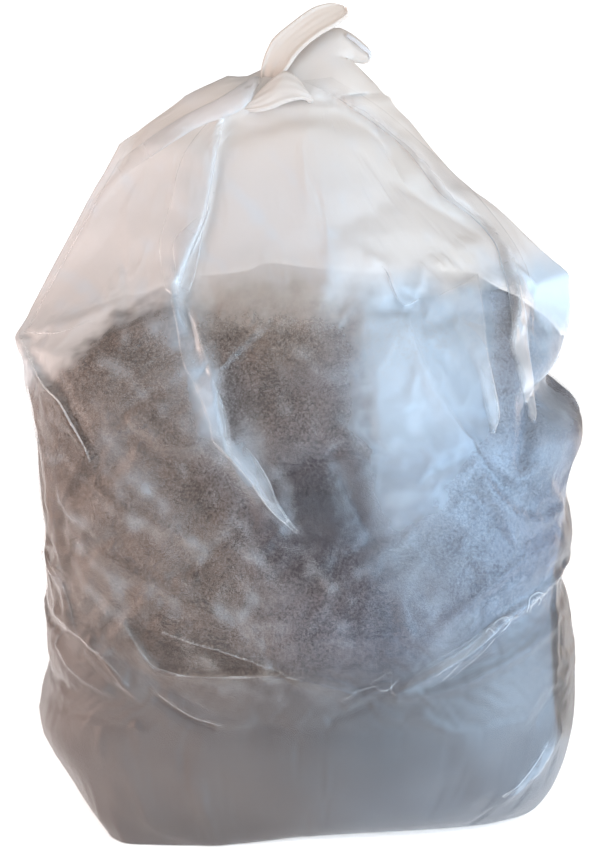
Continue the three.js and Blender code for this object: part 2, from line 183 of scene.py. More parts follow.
# A pleat is a doubled strip of film that lies on the bag: (height, section, haze, coolness of the painted
# light, share of its length over which it fades in, and out, one edge, other edge).
FRONT_PLEATS = [
    (0.9, "tube", 0.94, 0.4, 0.55, 0.07,
        [(-54, 195), (-43.5, 203.6), (-34.8, 209.2), (-29.1, 212.4), (-25.1, 214.4), (-21.7, 216.4),
         (-18.2, 218.4), (-15.1, 220), (-12.6, 220.6), (-11.3, 220.2)],
        [(-52, 192), (-40.5, 200.4), (-34.8, 204.2), (-29, 207.5), (-23.1, 209.8), (-19.9, 210.9),
         (-17.1, 212.7), (-14.8, 215.2), (-13.1, 218.1), (-11.6, 219.6)]),
    (0.5, "wedge", 0.3, 0.6, 0.25, 0.2,
        [(-24, 212), (-34, 200), (-38, 186), (-41, 175), (-39, 164)],
        [(-22.3, 209.4), (-24.5, 200.2), (-28.1, 182.5), (-31.5, 174.7), (-35.6, 162.5)]),
    (0.3, "blade", 0.45, 0.4, 0.3, 0.12,
        [(-25.6, 189.8), (-28.1, 182.5), (-31.5, 174.7), (-34.6, 167), (-35.6, 162.2)],
        [(-25.2, 189.6), (-28, 181), (-29.6, 172.2), (-31.2, 165.9), (-33.4, 161)]),
    (0.2, "blade", 0.38, 0.45, 0.3, 0.3,
        [(-29.2, 184), (-36.7, 177), (-36.3, 170), (-35.9, 163)],
        [(-28.4, 183), (-31.5, 174.7), (-34.6, 167), (-35.6, 162.5)]),
    (0.16, "roll", 0.24, 0.95, 0.15, 0.3,
        [(-37.5, 162), (-35.9, 155.8), (-34.2, 146.6), (-29.8, 138.4), (-26.6, 130.7), (-25.3, 125.1),
         (-21.5, 120.5)],
        [(-34.8, 162), (-31.3, 158.3), (-29.4, 153.1), (-26.6, 146.3), (-23.8, 138.4), (-21.1, 130.7),
         (-19.8, 120)]),
    (0.2, "blade", 0.26, 0.75, 0.25, 0.4,
        [(-26.3, 126.1), (-20.8, 120.5), (-15.5, 114.7), (-9.6, 106.4), (-2, 98.6)],
        [(-18, 124.5), (-13.5, 119.9), (-9.6, 113.6), (-7, 107.7), (-1.6, 99.6)]),
    (0.5, "wedge", 0.45, 0.4, 0.2, 0.3,
        [(8, 221), (22, 212), (40, 196), (52, 184), (62, 171), (66, 160), (66, 148)],
        [(-0.6, 219.9), (9.1, 215.4), (27.8, 201.7), (38.7, 188.2), (47.7, 181.4), (54.9, 173.7),
         (58.6, 162.3)]),
    (0.6, "roll", 0.36, 0.7, 0.75, 0.02,
        [(38, 162), (43.8, 151.2), (49.1, 141.7), (50.9, 133), (53, 125.6)],
        [(50, 166), (51.7, 154.8), (52.3, 146.8), (54.4, 137.5), (55.6, 130), (54.2, 125.6)]),
    (0.7, "roll", 0.42, 0.45, 0.5, 0.02,
        [(57.2, 168.2), (59.3, 155.5), (59.1, 147.5), (60.8, 140.8), (63, 131.3), (64.4, 126.3)],
        [(60.5, 170), (61.5, 165.3), (63.5, 154.8), (64.4, 145.2), (65.8, 134.9), (66.7, 127.7),
         (65.6, 125.7)]),
    (0.35, "blade", 0.26, 0.95, 0.25, 0.1,
        [(36, 58.2), (42, 61.6), (48.5, 65.9), (52.2, 68.9), (55.6, 71.8)],
        [(36.6, 55.4), (42, 58.9), (47.2, 61.8), (52.2, 65.5), (57, 69.4)]),
    (0.5, "roll", 0.22, 0.8, 0.2, 0.2,
        [(56.2, 70.6), (58.5, 72.6), (60.2, 72.2), (61.6, 71.6)],
        [(57.4, 69), (59, 70.8), (60.4, 71), (61.8, 71.2)]),
    (0.35, "roll", 0.22, 0.8, 0.2, 0.2,
        [(64.6, 71), (65, 74.6), (67.4, 76.4), (70.6, 76)],
        [(65.2, 70.8), (66, 73.8), (67.9, 75.2), (70.8, 75.2)]),
]
# A crease is a sharp fold line, whitened along its crest: (width, height, haze, route).
FRONT_CREASES = [
    (0.45, 0.16, 0.45, [
        (-81.5, 145.6), (-75.5, 137), (-69.6, 132.9), (-66, 127.9), (-61.7, 120.8), (-60.3, 117)]),
    (0.45, 0.1, 0.25, [(-79.6, 147.8), (-56.1, 190.5), (-51.1, 199.2)]),
    (0.4, 0.1, 0.12, [(-81, 146.6), (-70, 149.5), (-61, 153.6)]),
    (0.4, 0.12, 0.06, [(-35.9, 162.2), (-31.3, 158.3), (-30.2, 155.1), (-27.8, 148.3), (-25.8, 143.4)]),
    (0.4, 0.1, 0.25, [(-25.3, 125.1), (-20.8, 120.5), (-15.5, 114.7), (-9.6, 106.4), (-2, 98.6)]),
    (0.35, 0.1, 0.25, [(-13.5, 119.9), (-9.6, 113.6), (-7.6, 107.7), (-2.5, 100.3)]),
    (0.5, 0.14, 0.4, [
        (38.7, 188.2), (47.7, 181.4), (54.9, 173.7), (57.1, 167.3), (58.6, 162.3), (59.8, 152.6)]),
    (0.45, 0.12, 0.35, [(61.5, 165.3), (63.5, 154.8), (64.4, 145.2), (65.8, 134.9), (66.5, 127.7)]),
    (0.3, 0.08, 0.1, [(-75.3, 84.4), (-68.9, 77.3), (-65.3, 65.4)]),
    (0.35, 0.08, 0.16, [(-71.1, 64.6), (-65, 63.8), (-57.2, 59.7), (-49.9, 52.5)]),
    (0.35, 0.1, 0.1, [(28.9, 52.1), (30.8, 54.9), (37.4, 60.4), (44.8, 64.5), (52.8, 69.2)]),
    (0.4, 0.12, 0.25, [(20, 53.5), (22.5, 52.2), (25, 53), (27.5, 55.5)]),
    (0.4, 0.12, 0.2, [(15, 51.5), (18, 52.6), (21.5, 53.6)]),
    (0.4, 0.1, 0.6, [(22.1, 170.8), (23.8, 168.7), (26, 163.3), (28.5, 160.4), (33.1, 161.5)]),
    (0.4, 0.14, 0.4, [(58, 14.9), (63, 18.7), (67.4, 24.2), (71.5, 30.6)]),
    (0.3, 0.1, 0.25, [(58.5, 14.4), (63, 17.6), (68.5, 20.6), (72.1, 25.5)]),
    (0.35, 0.12, 0.26, [(40, 54.6), (43.2, 58.2), (48, 63.7), (52.3, 67.7)]),
    (0.3, 0.1, 0.18, [(42, 54.8), (45.2, 57.5), (50, 61.6), (54.9, 66.3)]),
    (0.55, 0.18, 0.5, [(51.8, 67.4), (53.1, 68.9), (55, 67.6)]),
    (0.55, 0.18, 0.48, [(53.6, 69), (55.5, 71), (58.1, 71.8), (59.2, 70.6)]),
    (0.45, 0.16, 0.55, [(59.4, 71), (58.4, 69.2), (56.7, 67.8)]),
    (0.45, 0.16, 0.5, [(64.2, 71.2), (64.4, 73.5), (65.1, 76), (67.5, 77), (69.9, 76)]),
    (0.4, 0.14, 0.3, [(66.2, 74.9), (67.8, 75.2), (68.4, 74), (67.6, 72.6)]),
    (0.35, 0.08, 0.14, [(10.9, 48.8), (14, 51.1), (15.7, 52.4), (16.6, 51.1)]),
    (0.35, 0.08, 0.16, [(19, 53.8), (20.8, 55.2), (24.5, 57.5), (25.4, 56.4)]),
    (0.35, 0.08, 0.16, [(25.3, 56.4), (25.1, 53.6), (25.4, 51.8), (26.6, 51.2)]),
    (0.35, 0.1, 0.14, [(-51.4, 70.9), (-44.3, 60.1), (-39.7, 57.5), (-29.4, 56.4), (-6.6, 57.3)]),
    (0.35, 0.1, 0.1, [(-40.2, 69.2), (-30.5, 66), (-21.6, 63.5), (-2, 56)]),
    (0.4, 0.12, 0.1, [(-42.7, 50.7), (-38.4, 47.7), (-31.8, 43.7), (-23.5, 41.2)]),
]
BACK_FOLDS = [
    (2.8, 8, 1.6, 0.12, [(-12, 212), (-30, 196), (-44, 176), (-52, 156), (-52, 136), (-46, 122)]),
    (2.6, 1.6, 8, 0.12, [(-4, 212), (-8, 196), (-9, 176), (-14, 152), (-16, 130), (-8, 112)]),
    (2.4, 2.4, 7, 0.1, [(6, 212), (18, 198), (26, 180), (31, 160), (30, 140), (22, 122)]),
    (2, 2, 5, 0.12, [(16, 208), (38, 190), (52, 172), (60, 150), (60, 130)]),
    (-1.8, 6, 6, 0, [(-22, 200), (-26, 176), (-32, 156), (-30, 140)]),
    (-1.4, 5, 5, 0, [(-76, 70), (-52, 64), (-28, 52), (2, 50), (30, 58), (56, 72), (76, 78)]),
    (1, 2, 1.5, 0.08, [(-70, 88), (-50, 78), (-30, 74), (-8, 62)]),
    (1, 1.5, 2, 0.08, [(68, 98), (48, 88), (30, 76), (16, 62)]),
    (0.9, 1.5, 1.5, 0.08, [(-60, 120), (-44, 108), (-34, 94), (-12, 86)]),
    (1, 1.5, 2, 0.1, [(66, 124), (52, 112), (40, 98)]),
]

# How high the powder shows at the front and the back, and how high it is pressed smooth, as (x, height).
POWDER_FRONT = [
    (-84, 128), (-76, 136), (-68.9, 141), (-60, 148.5), (-54.5, 153.4), (-46, 158), (-38, 161),
    (-31, 163), (-20, 166), (0, 167), (12, 165), (22, 162), (33, 164.5), (48, 166), (60, 163), (66, 158),
    (70, 150), (77, 146), (84, 140),
]
POWDER_BACK = [(-84, 128), (-66, 146), (-40, 156), (-10, 160), (20, 158), (50, 160), (68, 150), (84, 140)]
PRESSED = [
    (-84, 62), (-70, 60), (-49, 58), (-29, 48), (0, 51), (22, 52), (42, 60), (60, 68), (75, 72), (84, 74),
]

# Where the film stands off and looks milkier, or clings and looks clearer, and how cool a tint of painted
# light its colour gets: (x, height, half width, half height, haze, coolness of the painted light).
HAZE_PATCHES = [
    (-78, 141, 10, 8, 0.35, 0), (71, 147, 8, 17, 0.24, 0.1), (44, 166, 9, 5, 0.25, -0.5),
    (57, 144, 4, 13, -0.22, -0.3), (-34, 161, 4, 10, 0.15, 0.4), (-27, 140, 4.5, 13, 0.24, 0.5),
    (-15, 120, 4.5, 11, 0.22, 0.5), (-5, 104, 3, 9, 0.2, 0.5), (-66, 117, 5, 12, -0.12, 0),
    (-15, 107, 15, 11, -0.1, 0), (12, 111, 12, 15, -0.14, 0.2), (11, 83, 12, 10, -0.08, -0.2),
    (66, 75, 10, 8, 0.1, 0.1), (73, 122, 7, 11, 0.14, 0.3), (-75, 98, 6, 26, -0.02, 0),
    (-62, 76, 10, 10, 0.1, 0), (64, 47, 13, 12, 0.12, 0.2), (79, 104, 4, 9, -0.08, -0.8),
    (-52, 135, 8, 8, 0.06, 0), (-17, 152, 10, 6, -0.05, -0.2), (81, 116, 4, 14, -0.25, -1),
    (-3, 98, 14, 9, -0.08, 0.1), (52, 92, 30, 26, 0.02, 0.5), (-8, 158, 24, 12, 0, -0.35),
    (-76, 122, 8, 16, -0.08, 0), (38, 144, 18, 20, 0.34, 0), (54, 98, 18, 16, -0.08, 0.2),
]
# Where the film above the powder is clearer: (x, height, half width, half height, haze).
UPPER_PATCHES = [(-10, 167, 20, 10, -0.22), (44, 158, 10, 6, -0.1), (8, 190, 10, 16, -0.06)]
# Where painted shade darkens the powder and painted light tints it warmer or cooler: (x, height, half
# width, half height, painted shade, coolness of the painted light).
POWDER_PATCHES = [
    (80, 50, 6, 34, 0.15, -0.4), (58, 145, 6, 16, 0, -0.9), (84, 112, 4.5, 16, 0.65, -0.9),
    (5, 106, 18, 16, 0.68, 0.4), (-70, 100, 8, 20, 0.15, 0), (10, 38, 34, 26, 0.36, 0.1),
    (-22, 5, 40, 9, 0.3, 0), (66, 112, 20, 14, 0.1, 0.5), (20, 84, 26, 12, 0.25, 0),
    (-62, 132, 14, 10, 0.1, 0), (-6, 160, 26, 12, 0, -0.5), (-48, 108, 26, 28, 0.1, -0.2),
    (85, 112, 5, 14, 0.6, -0.6),
]
# Where the powder is painted paler and bluer, a painted cool light: (x, height, half width, half height,
# amount).
PAINTED_COOL_LIGHT_PATCHES = [
    (44, 134, 24, 32, 0.6), (60, 100, 24, 26, 0.28), (62, 72, 12, 12, 0.25), (-22, 128, 8, 20, 0.2),
]
# A veil is haze on both sides of a line that goes down, with a tint of painted cool light: (haze, reach to
# its left, to its right, coolness of the painted light, route).
VEILS = [
    (0.48, 8, 32, 0, [
        (13, 182), (16.1, 170), (17.2, 158.2), (19.4, 148.4), (20.9, 135.8), (21.5, 122), (25, 105),
        (30, 88), (36, 70), (42, 50)]),
    (0.12, 3, 4, 0.3, [(-82, 146), (-77, 130), (-74, 118), (-67, 100), (-56, 88), (-45, 79), (-34, 72)]),
    (0.26, 7, 3, 0.5, [(-38, 162), (-33, 146), (-28, 134), (-22, 124), (-12, 114), (-4, 104), (6, 94)]),
    (0.2, 3, 3, 0.2, [(6.5, 182), (8, 170), (5, 160), (0, 150)]),
    (0.2, 2.5, 2.5, 0.8, [(8, 120), (12, 109), (16, 97)]),
    (0.14, 5, 5, 0.3, [(-60, 128), (-46, 112), (-30, 96), (-14, 84)]),
]
# A panel is a part of the front with a crisp edge: (haze, coolness of the painted light on film and powder,
# painted shade on the powder, corners). The milkier, cooler panel low on the right is a painted sheen for a
# streak of glints.
PANELS = [
    (-0.06, -1, 0.24, [
        (-51.4, 70.5), (-40.2, 69.2), (-30.5, 66), (-21.6, 63.5), (-2, 55.5), (-2, 53.5), (-6.6, 57.3),
        (-29.4, 56.4), (-39.7, 57.5), (-44.3, 60.1)]),
    (-0.2, -1.3, 0.6, [
        (77, 101), (74, 90), (71.7, 79), (71.8, 63), (72.7, 47.8), (74.1, 35.1), (75.7, 29), (90, 29),
        (90, 101)]),
    (0.34, 0.6, 0, [
        (58, 14.6), (63, 18.8), (67.4, 24.5), (71.5, 31), (73.5, 29), (69.5, 20.8), (62, 15.4)]),
    (0.12, 0.2, 0, [
        (28.9, 52.1), (30.8, 54.9), (37.4, 60.4), (44.8, 64.5), (52.8, 69.2), (50, 61.6), (44.9, 57.5),
        (37.5, 53.4), (30, 51.2)]),
    (0, -0.2, 0.25, [(56, 67), (62, 70), (70, 79), (71.5, 70), (66, 62), (56, 60)]),
]

# The haze of film with nothing behind it, and the most that any film has.
FREE_HAZE = 0.9
MOST_HAZE = 0.94
# The film's refractive index, and the largest share that its gloss has.
FILM_IOR = 1.4
MOST_GLOSS = 0.2
# Colours: the film's from painted warm light through its plain colour to painted cool light, the dust on
# it, the powder's dark and light ones where it is loose and where it presses on the film, each in painted
# warm and in painted cool light, its pale grains, its painted shade, its painted cool light and its cracks.
FILM_PAINTED_WARM_LIGHT = (0.69, 0.63, 0.58, 1)
FILM_PLAIN = (0.67, 0.64, 0.628, 1)
FILM_PAINTED_COOL_LIGHT = (0.59, 0.682, 0.775, 1)
DUST = (0.2, 0.15, 0.12, 1)
LOOSE_IN_PAINTED_WARM_LIGHT = ((0.036, 0.022, 0.016, 1), (0.135, 0.095, 0.076, 1))
LOOSE_IN_PAINTED_COOL_LIGHT = ((0.026, 0.028, 0.046, 1), (0.105, 0.107, 0.14, 1))
PRESSED_IN_PAINTED_WARM_LIGHT = ((0.098, 0.079, 0.074, 1), (0.114, 0.095, 0.089, 1))
PRESSED_IN_PAINTED_COOL_LIGHT = ((0.101, 0.105, 0.119, 1), (0.118, 0.124, 0.14, 1))
GRAIN = (0.26, 0.235, 0.22, 1)
PAINTED_SHADE_COLOUR = (0.02, 0.015, 0.013, 1)
PAINTED_COOL_LIGHT_COLOUR = (0.18, 0.24, 0.32, 1)
CRACK = (0.035, 0.033, 0.04, 1)

# The powder's grid, its least distance from the film, how far its edge lies below the height that shows,
# the lowest that it reaches, and the middle of its heap.
POWDER_ROWS = 190
HEAP_RINGS = 24
LEAST_GAP = 0.35
POWDER_DROP = 2
POWDER_FLOOR = 0.25
HEAP_MIDDLE = (4, 2, 0)
# The row at this height gives each column's x for the powder's edge.
EDGE_LEVEL = 150
# The cloth simulation: its frames, the one by which the film is drawn in, its units for each millimetre,
# how much larger than its form the film is cut, the heights beyond which it is held, the most that a point
# may move, and the cloth's settings.
SIM_FRAMES = 30
SIM_DRAWN_BY = 15
SIM_SCALE = 0.01
SPARE_FILM = 1.045
HELD_BELOW = 1
HELD_ABOVE = 209
SIM_CAP = 1.1
CLOTH = {
    "quality": 6, "mass": 0.1, "air_damping": 3, "tension_stiffness": 30, "compression_stiffness": 30,
    "shear_stiffness": 10, "bending_stiffness": 0.05, "tension_damping": 8, "compression_damping": 8,
    "shear_damping": 8, "bending_damping": 0.3, "vertex_group_mass": "hold", "pin_stiffness": 1,
}
# The sizes of the film's large and small creases.
BIG_CREASES = 12
SMALL_CREASES = 5.5
# Rays that find the film's front start here, well before it.
RAY_START = -300
# How far a pleat lies off the film, and how far its underside lies behind it.
PLEAT_LIFT = 0.06
PLEAT_ROOT = 0.5
# Where a pleat's section has its points, from one edge to the other.
PLEAT_SHARES = np.concatenate([[0, 0.05], np.linspace(0.1, 0.9, 13), [0.955, 1]])
# Over how much of its length a crease fades in, and out.
CREASE_FADE = 0.25


def smooth_step(low, high, value):
    t = np.clip((value - low) / (high - low), 0, 1)
    return t * t * (3 - 2 * t)


def mix(a, b, share):
    return a + (b - a) * share


def look_up(table, place):
    places, sizes = zip(*table)
    return np.interp(place, places, sizes)


def length(vectors):
    return np.sqrt(np.sum(vectors ** 2, axis=-1))


def unit(vectors):
    return vectors / np.maximum(length(vectors), 1e-9)[..., None]


def gradient_noise(points, seed):
    """Smooth noise from about -1 to 1 at an (n, 3) array of points, one bump for each unit."""
    cell = np.floor(points).astype(np.int64)
    inside = points - cell
    ease = inside ** 3 * (inside * (inside * 6 - 15) + 10)
    total = np.zeros(len(points))
    for corner in np.ndindex(2, 2, 2):
        corner = np.array(corner)
        key = (cell + corner) @ np.array([73856093, 19349663, 83492791]) + seed * 2654435761
        key = (key ^ (key >> 13)) * 1274126177 & 0x7FFFFFFF
        key = (key ^ (key >> 11)) * 668265263 & 0x7FFFFFFF
        turn = (key & 0xFFFF) / 0x10000 * 2 * np.pi
        rise = (key >> 15 & 0xFFFF) / 0x8000 - 1
        flat = np.sqrt(np.maximum(0, 1 - rise ** 2))
        slope = np.stack([flat * np.cos(turn), flat * np.sin(turn), rise], axis=1)
        weight = np.prod(np.where(corner == 1, ease, 1 - ease), axis=1)
        total += weight * np.sum(slope * (inside - corner), axis=1)
    return total * 1.5


def spread(line, count, values=None):
    """count points spaced evenly along a line of points, or the values that lie there."""
    values = line if values is None else values
    reach = np.concatenate([[0], np.cumsum(length(np.diff(line, axis=0)))])
    places = np.linspace(0, reach[-1], count)
    return np.stack([np.interp(places, reach, column) for column in values.T], axis=1)


def patch(x, z, spot, power):
    """How far places are in a soft oval spot of (x, height, half width, half height), from 0 to 1."""
    far = ((x - spot[0]) / spot[2]) ** 2 + ((z - spot[1]) / spot[3]) ** 2
    return np.exp(-far ** power)


def ring_of_section(z):
    """The wall's outline at a height, evenly spaced: the front from left to right, then the back."""
    lens = float(smooth_step(FILL_LEVEL - 20, SHOULDER, z))
    power_x = mix(FULLNESS, 1, lens)
    power_y = mix(FULLNESS, 2, lens)
    turn = np.linspace(0, np.pi, WALL_SAMPLES)
    halves = []
    for depths, side, count in ((FRONT_DEPTH, -1, FRONT_COLUMNS), (BACK_DEPTH, 1, BACK_COLUMNS)):
        cosine = np.cos(turn) * side
        right = np.mean([look_up(RIGHT_EDGE, z + step) for step in (-2.5, 0, 2.5)])
        width = np.where(cosine < 0, look_up(LEFT_EDGE, z), right)
        x = np.sign(cosine) * width * np.abs(cosine) ** power_x
        depth = np.mean([look_up(depths, z + step) for step in (-6, -3, 0, 3, 6)])
        y = side * depth * np.sin(turn) ** power_y
        halves.append(spread(np.stack([x, y], axis=1), count + 1)[:-1])
    return np.concatenate(halves)


def floor_radius(direction):
    """How far the floor outline lies from the middle in a direction."""
    corners = np.array(FLOOR_OUTLINE + FLOOR_OUTLINE[:1], float)
    line = np.concatenate([np.linspace(a, b, 60, endpoint=False) for a, b in zip(corners, corners[1:])])
    turn = np.arctan2(line[:, 1], line[:, 0])
    order = np.argsort(turn)
    turn, radius = turn[order], np.hypot(line[:, 0], line[:, 1])[order]
    even = np.linspace(-np.pi, np.pi, 720, endpoint=False)
    radius = np.interp(even, turn, radius, period=2 * np.pi)
    window = np.hanning(15)
    wrapped = np.concatenate([radius[-7:], radius, radius[:7]])
    radius = np.convolve(wrapped, window / window.sum(), "valid")
    return np.interp(direction, even, radius, period=2 * np.pi)


def foot(ring, z):
    """The outline drawn in towards the floor outline near the floor."""
    if z >= FOOT_HEIGHT:
        return ring
    direction = np.arctan2(ring[:, 1], ring[:, 0])
    round_share = math.sqrt(1 - (1 - z / FOOT_HEIGHT) ** 2)
    share = mix(round_share, look_up(LEFT_FOOT, z), smooth_step(0.3, 0.85, -np.cos(direction)))
    radius = np.hypot(ring[:, 0], ring[:, 1])
    new = mix(floor_radius(direction), radius, share)
    return ring * (new / radius)[:, None]


def wall_rows():
    """The film's rows from the floor to the top of the wall, as (row, column, xyz)."""
    foot_heights = FOOT_HEIGHT * (1 - np.cos(np.linspace(0, np.pi / 2, FOOT_ROWS)))
    heights = [foot_heights]
    low = FOOT_HEIGHT
    for high, step in WALL_STEPS:
        high = min(high, WALL_TOP)
        heights.append(np.linspace(low, high, int((high - low) / step) + 1)[1:])
        low = high
    heights = np.concatenate(heights)
    rows = []
    for z in heights:
        ring = foot(ring_of_section(z), z)
        rows.append(np.column_stack([ring, np.full(len(ring), z)]))
    return np.array(rows)


def head_rows():
    """The film's rows from the top of the wall to the end of the lower ear."""
    flat = np.array([[*left, *right, front, back] for left, right, front, back in HEAD])
    sizes = spread((flat[:, :2] + flat[:, 2:4]) / 2, HEAD_ROWS + 1, flat)[1:]
    rows = []
    for i, (xl, zl, xr, zr, front, back) in enumerate(sizes):
        power_y = mix(2, 0.9, smooth_step(0, 0.4, (i + 1) / HEAD_ROWS))
        turn = np.linspace(0, np.pi, HEAD_SAMPLES)
        row = []
        for depth, side, count in ((-front, -1, FRONT_COLUMNS), (back, 1, BACK_COLUMNS)):
            along = (np.cos(turn) * side + 1) / 2
            middle_y = (back - front) / 2
            y = middle_y + (depth - middle_y) * np.sin(turn) ** power_y
            line = np.column_stack([mix(xl, xr, along), y, mix(zl, zr, along)])
            row.append(spread(line, count + 1)[:-1])
        rows.append(np.concatenate(row))
    return np.array(rows)


def grid_normals(grid):
    """Outward unit normals of rows that close on themselves."""
    along = np.roll(grid, -1, axis=1) - np.roll(grid, 1, axis=1)
    up = np.gradient(grid, axis=0)
    return unit(np.cross(along, up))


def smooth_route(route, step=2):
    """A route of (x, height) as a smooth curve through its points, in short steps."""
    points = np.array(route, float)
    padded = np.vstack([2 * points[0] - points[1], points, 2 * points[-1] - points[-2]])
    curve = []
    for i in range(1, len(padded) - 2):
        p0, p1, p2, p3 = padded[i - 1:i + 3]
        count = max(2, int(length(p2 - p1) / step))
        t = np.linspace(0, 1, count, endpoint=False)[:, None]
        curve.append(0.5 * (2 * p1 + (p2 - p0) * t + (2 * p0 - 5 * p1 + 4 * p2 - p3) * t ** 2
                            + (3 * p1 - p0 - 3 * p2 + p3) * t ** 3))
    return np.vstack([*curve, points[-1:]])


def fold_distance(points, line):
    """How far points are from a line, and how far along it, from 0 to 1.

    The distance is negative on the left of a line that goes down, and below one that goes right.
    """
    best = np.full(len(points), 1e9)
    signed = np.zeros(len(points))
    along = np.zeros(len(points))
    steps = np.diff(line, axis=0)
    starts = np.concatenate([[0], np.cumsum(length(steps))])
    for start, step, before in zip(line, steps, starts):
        size = length(step)
        t = np.clip((points - start) @ step / size ** 2, 0, 1)
        away = points - start - t[:, None] * step
        distance = length(away)
        side = np.where(step[0] * away[:, -1] - step[-1] * away[:, 0] >= 0, 1, -1)
        closer = distance < best
        best[closer] = distance[closer]
        signed[closer] = (distance * side)[closer]
        along[closer] = (before + t * size)[closer]
    return signed, along / starts[-1]


def fold_relief(form, normals, folds, side):
    """How far the folds of a side, -1 for the front, lift the form's points, and what haze they add."""
    points = form.reshape(-1, 3)
    lift = np.zeros(len(points))
    haze = np.zeros(len(points))
    facing = smooth_step(-0.25, 0.1, side * normals[..., 1].ravel())
    half = form[:, :FRONT_COLUMNS:2] if side < 0 else form[:, FRONT_COLUMNS::2]
    half = half.reshape(-1, 3)
    for rise, before, after, more_haze, route in folds:
        route = smooth_route(route)
        near = [np.argmin((half[:, 0] - x) ** 2 + (half[:, 2] - z) ** 2) for x, z in route]
        line = np.column_stack([route[:, 0], half[near, 1], route[:, 1]])
        reach = 3 * max(before, after)
        near = np.all((points > line.min(axis=0) - reach) & (points < line.max(axis=0) + reach), axis=1)
        near &= facing > 0
        if not near.any():
            continue
        signed, along = fold_distance(points[near], line)
        size = np.where(signed < 0, before, after)
        taper = smooth_step(0, 0.12, along) * smooth_step(1, 0.85, along)
        power = 1.05 + 0.06 * np.minimum(size, 10)
        shape = np.exp(-(np.abs(signed) / size) ** power) * taper * facing[near]
        lift[near] += rise * shape
        haze[near] += more_haze * shape
    return lift.reshape(form.shape[:2]), haze.reshape(form.shape[:2])


def crumple(points, scale, seed):
    """Creased relief from 0 to 1: flat facets that meet in sharp ridges."""
    warp = np.column_stack([gradient_noise(points / (scale * 2.3), seed + i) for i in range(3)])
    value = np.abs(gradient_noise(points / scale + warp * 1.1, seed + 7))
    return np.clip(1 - value * 1.9, 0, 1)


def upsample(field, axis, ends):
    """Twice as many samples along an axis, through cubic curves. Its ends "wrap" or "clip"."""
    count = field.shape[axis]
    before, after, later = [np.take(field, range(i, i + count), axis, mode=ends) for i in (-1, 1, 2)]
    doubled = np.stack([field, (9 * field + 9 * after - before - later) / 16], axis + 1)
    return doubled.reshape(*field.shape[:axis], 2 * count, *field.shape[axis + 1:])


def blur(field, width, axis, ends):
    """A moving average along an axis, run twice. Its ends "wrap" or "clip"."""
    count = field.shape[axis]
    for _ in range(2):
        total = np.cumsum(np.take(field, range(-width, count + width), axis, mode=ends), axis)
        high = np.take(total, range(2 * width, 2 * width + count), axis)
        field = (high - np.take(total, range(count), axis)) / (2 * width)
    return field


def soften(field, width):
    """The moving average along the rows and the columns of the film's grid."""
    return blur(blur(field, width, 0, "clip"), width, 1, "wrap")


def grid_noise(place, scale, seed):
    """The noise at a grid of points, one bump for each scale millimetres."""
    return gradient_noise(place.reshape(-1, 3) / scale, seed).reshape(place.shape[:2])


def above_press(x, z):
    """How far places lie above the height up to which the powder is pressed smooth."""
    return z - look_up(PRESSED, x)


def mesh_from(name, points, faces):
    """A smoothly shaded mesh, in the scene."""
    data = bpy.data.meshes.new(name)
    data.from_pydata(points.tolist(), [], faces)
    data.update()
    data.polygons.foreach_set("use_smooth", [True] * len(data.polygons))
    piece = bpy.data.objects.new(name, data)
    bpy.context.scene.collection.objects.link(piece)
    return piece


def closed_grid(grid):
    """Points and faces of rows that close on themselves, capped at each end round a centre point."""
    rows, columns = grid.shape[:2]
    points = grid.reshape(-1, 3)
    this = np.arange(columns)
    following = (this + 1) % columns
    faces = []
    for low in range(0, (rows - 1) * columns, columns):
        high = low + columns
        ring = [low + this, low + following, high + following, high + this]
        faces.extend(np.column_stack(ring).tolist())
    last = (rows - 1) * columns
    for start, end, spot in ((following, this, grid[0]), (last + this, last + following, grid[-1])):
        centre = np.full(columns, len(points))
        points = np.vstack([points, spot.mean(axis=0)])
        faces.extend(np.column_stack([start, end, centre]).tolist())
    return points, faces


def weigh(piece, name, weights):
    """A vertex group with these weights, in steps of a hundredth."""
    group = piece.vertex_groups.new(name=name)
    steps = np.round(weights, 2)
    for value in np.unique(steps):
        group.add(np.nonzero(steps == value)[0].tolist(), float(value), "REPLACE")


def settle(grid):
    """How the film's points move when film cut larger than its form is drawn into it and buckles."""
    coarse = grid[::2, ::2]
    points, faces = closed_grid(coarse)
    height = points[:, 2]
    packed = smooth_step(95, 45, height)
    wider = SPARE_FILM + 0.15 * smooth_step(90, 200, height) - 0.038 * packed
    spare = points * np.column_stack([wider, wider, SPARE_FILM - 0.035 * packed])
    piece = mesh_from("film_cloth", spare * SIM_SCALE, faces)
    held = (height > HELD_ABOVE) | (height < HELD_BELOW)
    weigh(piece, "hold", np.where(held, 1, 0.08 + 0.25 * packed))
    piece.shape_key_add(name="cut")
    drawn = piece.shape_key_add(name="form")
    drawn.data.foreach_set("co", (points * SIM_SCALE).ravel())
    for share, at in ((0, 1), (1, SIM_DRAWN_BY)):
        drawn.value = share
        drawn.keyframe_insert("value", frame=at)
    cloth = piece.modifiers.new("cloth", "CLOTH")
    for name, value in CLOTH.items():
        setattr(cloth.settings, name, value)
    cloth.settings.effector_weights.gravity = 0
    cloth.collision_settings.use_collision = False
    cloth.point_cache.frame_start = 1
    cloth.point_cache.frame_end = SIM_FRAMES
    scene = bpy.context.scene
    for step in range(1, SIM_FRAMES + 1):
        scene.frame_set(step)
    made = piece.evaluated_get(bpy.context.evaluated_depsgraph_get()).to_mesh()
    moved = np.empty(len(made.vertices) * 3)
    made.vertices.foreach_get("co", moved)
    moved = moved[:coarse.size].reshape(coarse.shape) / SIM_SCALE - coarse
    bpy.data.objects.remove(piece)
    for action in list(bpy.data.actions):
        bpy.data.actions.remove(action)
    scene.frame_set(1)
    moved -= soften(moved, 8)
    moved *= mix(0.75, 0.3, smooth_step(150, 178, coarse[..., 2:]))
    size = length(moved)[..., None]
    moved *= SIM_CAP * np.tanh(size / SIM_CAP) / np.maximum(size, 1e-6)
    return upsample(upsample(moved, 0, "clip"), 1, "wrap")[:grid.shape[0], :grid.shape[1]]


